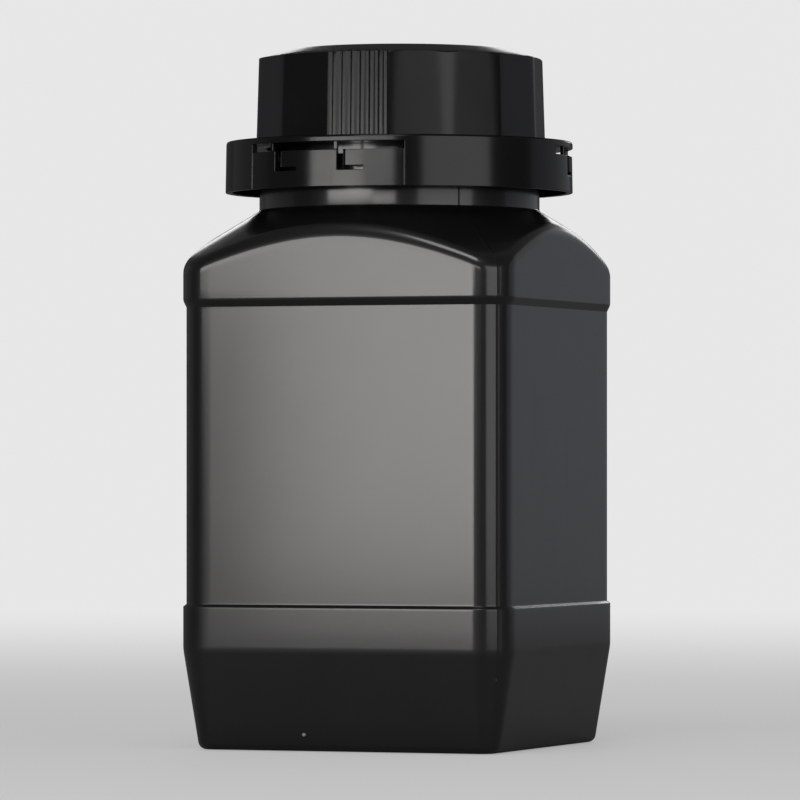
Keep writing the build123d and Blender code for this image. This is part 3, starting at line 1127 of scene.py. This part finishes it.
    def build_noses(self, material: bpy.types.Material) -> bpy.types.Object:
        """Makes the wedges inside the pawls' free ends.

        Args:
            material: the cap's finish.

        Returns:
            All the noses as one object.
        """
        skin = Skin("cap_pawl_noses")
        gap = math.degrees(self.pawl_gap / self.flange_radius)
        for segment in range(self.segments):
            for pawl in self.pawl_angles:
                tip = self.segment_heading + segment * 360 / self.segments + pawl + gap
                angle = np.radians([tip + 0.15, tip + 0.15, tip + self.pawl_nose_angle])
                radius = np.array([self.flange_bore + 0.3, self.nose_radius, self.flange_bore + 0.3])
                low = polar(radius, angle, np.float64(self.pawl_z + 0.15))
                high = polar(radius, angle, np.float64(self.slot_z - 0.15))
                faces = [[0, 1, 2], [5, 4, 3], [0, 3, 4, 1], [1, 4, 5, 2], [2, 5, 3, 0]]
                skin.add(np.vstack([low, high]), faces)
        made = skin.build("cap", material, "cap_plastic")
        keep_edges(made, Smoothing.CRISP)
        return made

    def build(self) -> list[bpy.types.Object]:
        """Makes every piece of the cap, all in one finish."""
        material = CAP_FINISH.material()
        return [self.build_grip(material), self.build_flange(material), self.build_noses(material)]


# ---------------------------------------------------------------- studio


@dataclass(frozen=True)
class SoftBox:
    """One soft lamp: where it stands round the object and how large and bright it is.

    The heading is from the camera's side, to the right, in degrees.
    """

    name: str
    heading: float
    height: float
    distance: float
    width: float
    tall: float
    radiance: float
    colour: tuple[float, float, float] = (1.0, 1.0, 1.0)
    aim_z: float = 0.09


@dataclass
class Studio:
    """Floor, background, lamps and camera."""

    camera_heading: float = 20.93  # degrees round from -Y towards +X
    camera_distance: float = 1.5793
    camera_height: float = 0.070
    lens: float = 277.17  # for a 36 mm wide frame
    shift: tuple[float, float] = (0.0006, 0.0905)
    floor_colour: tuple[float, float, float] = (0.75, 0.75, 0.74)
    floor_gap: float = 0.0002  # keeps it clear of the standing rim
    floor_mirrored: float = 0.3  # of the floor's paleness, for all but the camera
    floor_share: float = 0.55  # of its own shade, next to the object
    floor_fade: float = 1.6  # metres over which it passes into the background
    background: tuple[float, float, float] = (0.8, 0.8, 0.8)
    mirrored_share: float = 0.07  # of the background that reflections show
    ambient: float = 0.3  # light of the background on the object
    lamps: tuple[SoftBox, ...] = (
        SoftBox("key", -35.6, 0.089, 1.25, 0.34, 0.155, 5.2, (1.0, 0.985, 0.965)),
        SoftBox("upper key", -41.0, 0.225, 1.25, 0.86, 0.12, 4.8, (1.0, 0.985, 0.965)),
        SoftBox("cap key", -12.5, 0.27, 1.25, 0.40, 0.08, 4.5, (1.0, 0.985, 0.965)),
        SoftBox("fill", 38.0, 0.25, 1.4, 1.2, 0.9, 1.15),
        SoftBox("side", 126.0, 0.25, 1.3, 1.5, 0.90, 0.15, (0.86, 0.9, 1.0)),
        SoftBox("edge", -120.0, 0.25, 1.4, 1.2, 0.9, 0.06, (0.88, 0.92, 1.0)),
        SoftBox("overhead", -15.0, 0.8, 0.6, 0.4, 0.3, 4.0),
        SoftBox("back", 172.0, 0.44, 1.3, 0.9, 0.2, 1.5),
    )

    def at(self, heading: float, distance: float, height: float) -> Vector:
        """A place seen from the object at a heading from the camera's side."""
        turn = math.radians(self.camera_heading + heading - 90)
        return Vector((math.cos(turn) * distance, math.sin(turn) * distance, height))

    def build_lamp(self, box: SoftBox) -> bpy.types.Object:
        """Makes one soft lamp that faces the object.

        Args:
            box: its place, size and brightness.

        Returns:
            The lamp.
        """
        light = bpy.data.lights.new(box.name, "AREA")
        light.shape = "RECTANGLE"
        light.size, light.size_y = box.width, box.tall
        light.energy = box.radiance * math.pi * box.width * box.tall
        light.color = box.colour
        lamp = bpy.data.objects.new(box.name, light)
        lamp.location = self.at(box.heading, box.distance, box.height)
        aim = Vector((0, 0, box.aim_z)) - lamp.location
        lamp.rotation_euler = aim.to_track_quat("-Z", "Y").to_euler()
        bpy.context.scene.collection.objects.link(lamp)
        log.info("lamp %s at %s", box.name, tuple(round(v, 2) for v in lamp.location))
        return lamp

    def seen_or_lit(
        self, tree: bpy.types.NodeTree, seen: Socket, mirrored: Socket, lit: Socket
    ) -> Socket:
        """Parts what the camera and glass see from what mirrors see and what gives light.

        Args:
            tree: the node tree to add to.
            seen: shader for the camera and through glass.
            mirrored: shader for reflections.
            lit: shader for all other light.

        Returns:
            The mixed shader's socket.
        """
        path = tree.nodes.new("ShaderNodeLightPath")
        straight = tree.nodes.new("ShaderNodeMath")
        straight.operation = "MAXIMUM"
        tree.links.new(path.outputs["Is Camera Ray"], straight.inputs[0])
        tree.links.new(path.outputs["Is Transmission Ray"], straight.inputs[1])
        mixed = lit
        glossy = path.outputs["Is Glossy Ray"]
        for share, shader in ((glossy, mirrored), (straight.outputs["Value"], seen)):
            mix = tree.nodes.new("ShaderNodeMixShader")
            tree.links.new(share, mix.inputs["Fac"])
            tree.links.new(mixed, mix.inputs[1])
            tree.links.new(shader, mix.inputs[2])
            mixed = mix.outputs["Shader"]
        return mixed

    def build_world(self) -> None:
        """Sets a background that is pale to the camera, dim in reflections and as light."""
        world = bpy.data.worlds.new("pale studio")
        world.use_nodes = True
        tree = world.node_tree
        tree.nodes.remove(tree.nodes["Background"])
        shaders = []
        for strength in (1.0, self.mirrored_share, self.ambient):
            shader = tree.nodes.new("ShaderNodeBackground")
            shader.inputs["Color"].default_value = (*self.background, 1)
            shader.inputs["Strength"].default_value = strength
            shaders.append(shader.outputs["Background"])
        shown = self.seen_or_lit(tree, *shaders)
        tree.links.new(shown, tree.nodes["World Output"].inputs["Surface"])
        bpy.context.scene.world = world

    def build_floor(self) -> bpy.types.Object:
        """Makes the pale floor, which keeps the object's shadow.

        Returns:
            The floor.
        """
        steps, reach = 8, 6.0
        line = np.linspace(-reach, reach, steps + 1)
        corners = [(x, y, -self.floor_gap) for y in line for x in line]
        faces = [
            [row * (steps + 1) + column + offset for offset in (0, 1, steps + 2, steps + 1)]
            for row in range(steps)
            for column in range(steps)
        ]
        mesh = bpy.data.meshes.new("studio_floor")
        mesh.from_pydata(corners, [], faces)
        floor = bpy.data.objects.new("studio_floor", mesh)
        bpy.context.scene.collection.objects.link(floor)
        made = bpy.data.materials.new("pale studio floor")
        made.use_nodes = True
        tree = made.node_tree
        shader = tree.nodes["Principled BSDF"]
        shader.inputs["Base Color"].default_value = (*self.floor_colour, 1)
        shader.inputs["Roughness"].default_value = 0.7
        glow = tree.nodes.new("ShaderNodeEmission")
        glow.inputs["Color"].default_value = (*self.background, 1)
        place = tree.nodes.new("ShaderNodeTexCoord")
        away = tree.nodes.new("ShaderNodeVectorMath")
        away.operation = "LENGTH"
        tree.links.new(place.outputs["Object"], away.inputs[0])
        fade = tree.nodes.new("ShaderNodeMapRange")
        fade.interpolation_type = "SMOOTHSTEP"
        for socket, number in zip(fade.inputs[1:5], (0.1, self.floor_fade, self.floor_share, 0.0)):
            socket.default_value = number
        tree.links.new(away.outputs["Value"], fade.inputs["Value"])
        pale = tree.nodes.new("ShaderNodeMixShader")
        tree.links.new(fade.outputs["Result"], pale.inputs["Fac"])
        tree.links.new(glow.outputs["Emission"], pale.inputs[1])
        tree.links.new(shader.outputs["BSDF"], pale.inputs[2])
        dim = tree.nodes.new("ShaderNodeBsdfDiffuse")
        dimmed = [self.floor_mirrored * level for level in self.floor_colour]
        dim.inputs["Color"].default_value = (*dimmed, 1)
        unseen = dim.outputs["BSDF"]
        shown = self.seen_or_lit(tree, pale.outputs["Shader"], unseen, unseen)
        tree.links.new(shown, tree.nodes["Material Output"].inputs["Surface"])
        mesh.materials.append(made)
        log.info("floor %.0f m wide", 2 * reach)
        return floor

    def build_camera(self) -> bpy.types.Object:
        """Makes the camera, level and a little below the middle of the label panel.

        Returns:
            The scene's camera.
        """
        data = bpy.data.cameras.new("studio_camera")
        data.lens = self.lens
        data.sensor_width = 36.0
        data.shift_x, data.shift_y = self.shift
        data.clip_start, data.clip_end = 0.05, 50.0
        camera = bpy.data.objects.new("studio_camera", data)
        camera.location = self.at(0.0, self.camera_distance, self.camera_height)
        camera.rotation_euler = (math.pi / 2, 0, math.radians(self.camera_heading))
        bpy.context.scene.collection.objects.link(camera)
        bpy.context.scene.camera = camera
        log.info("camera at %s", tuple(round(v, 3) for v in camera.location))
        return camera

    def build(self) -> None:
        """Makes the whole studio."""
        bpy.context.scene.view_settings.view_transform = "Standard"
        self.build_world()
        self.build_floor()
        for box in self.lamps:
            self.build_lamp(box)
        self.build_camera()


# ---------------------------------------------------------------- whole object


def main() -> None:
    """Builds every piece in order, then the studio."""
    logging.basicConfig(level=logging.INFO, format="%(name)s: %(message)s")
    _, bottle_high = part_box("bottle")
    liner_low, liner_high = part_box("liner")
    cap_low, cap_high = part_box("cap")
    BottleSkin(half_width=bottle_high.x / MM, rim_z=bottle_high.z / MM).build()
    LinerSkin(radius=liner_high.x / MM, low_z=liner_low.z / MM, high_z=liner_high.z / MM).build()
    CapSkin(
        flange_radius=-cap_low.x / MM,
        flange_z=cap_low.z / MM,
        top_z=cap_high.z / MM,
        rim_z=bottle_high.z / MM,
    ).build()
    Studio().build()


if __name__ == "__main__":
    main()
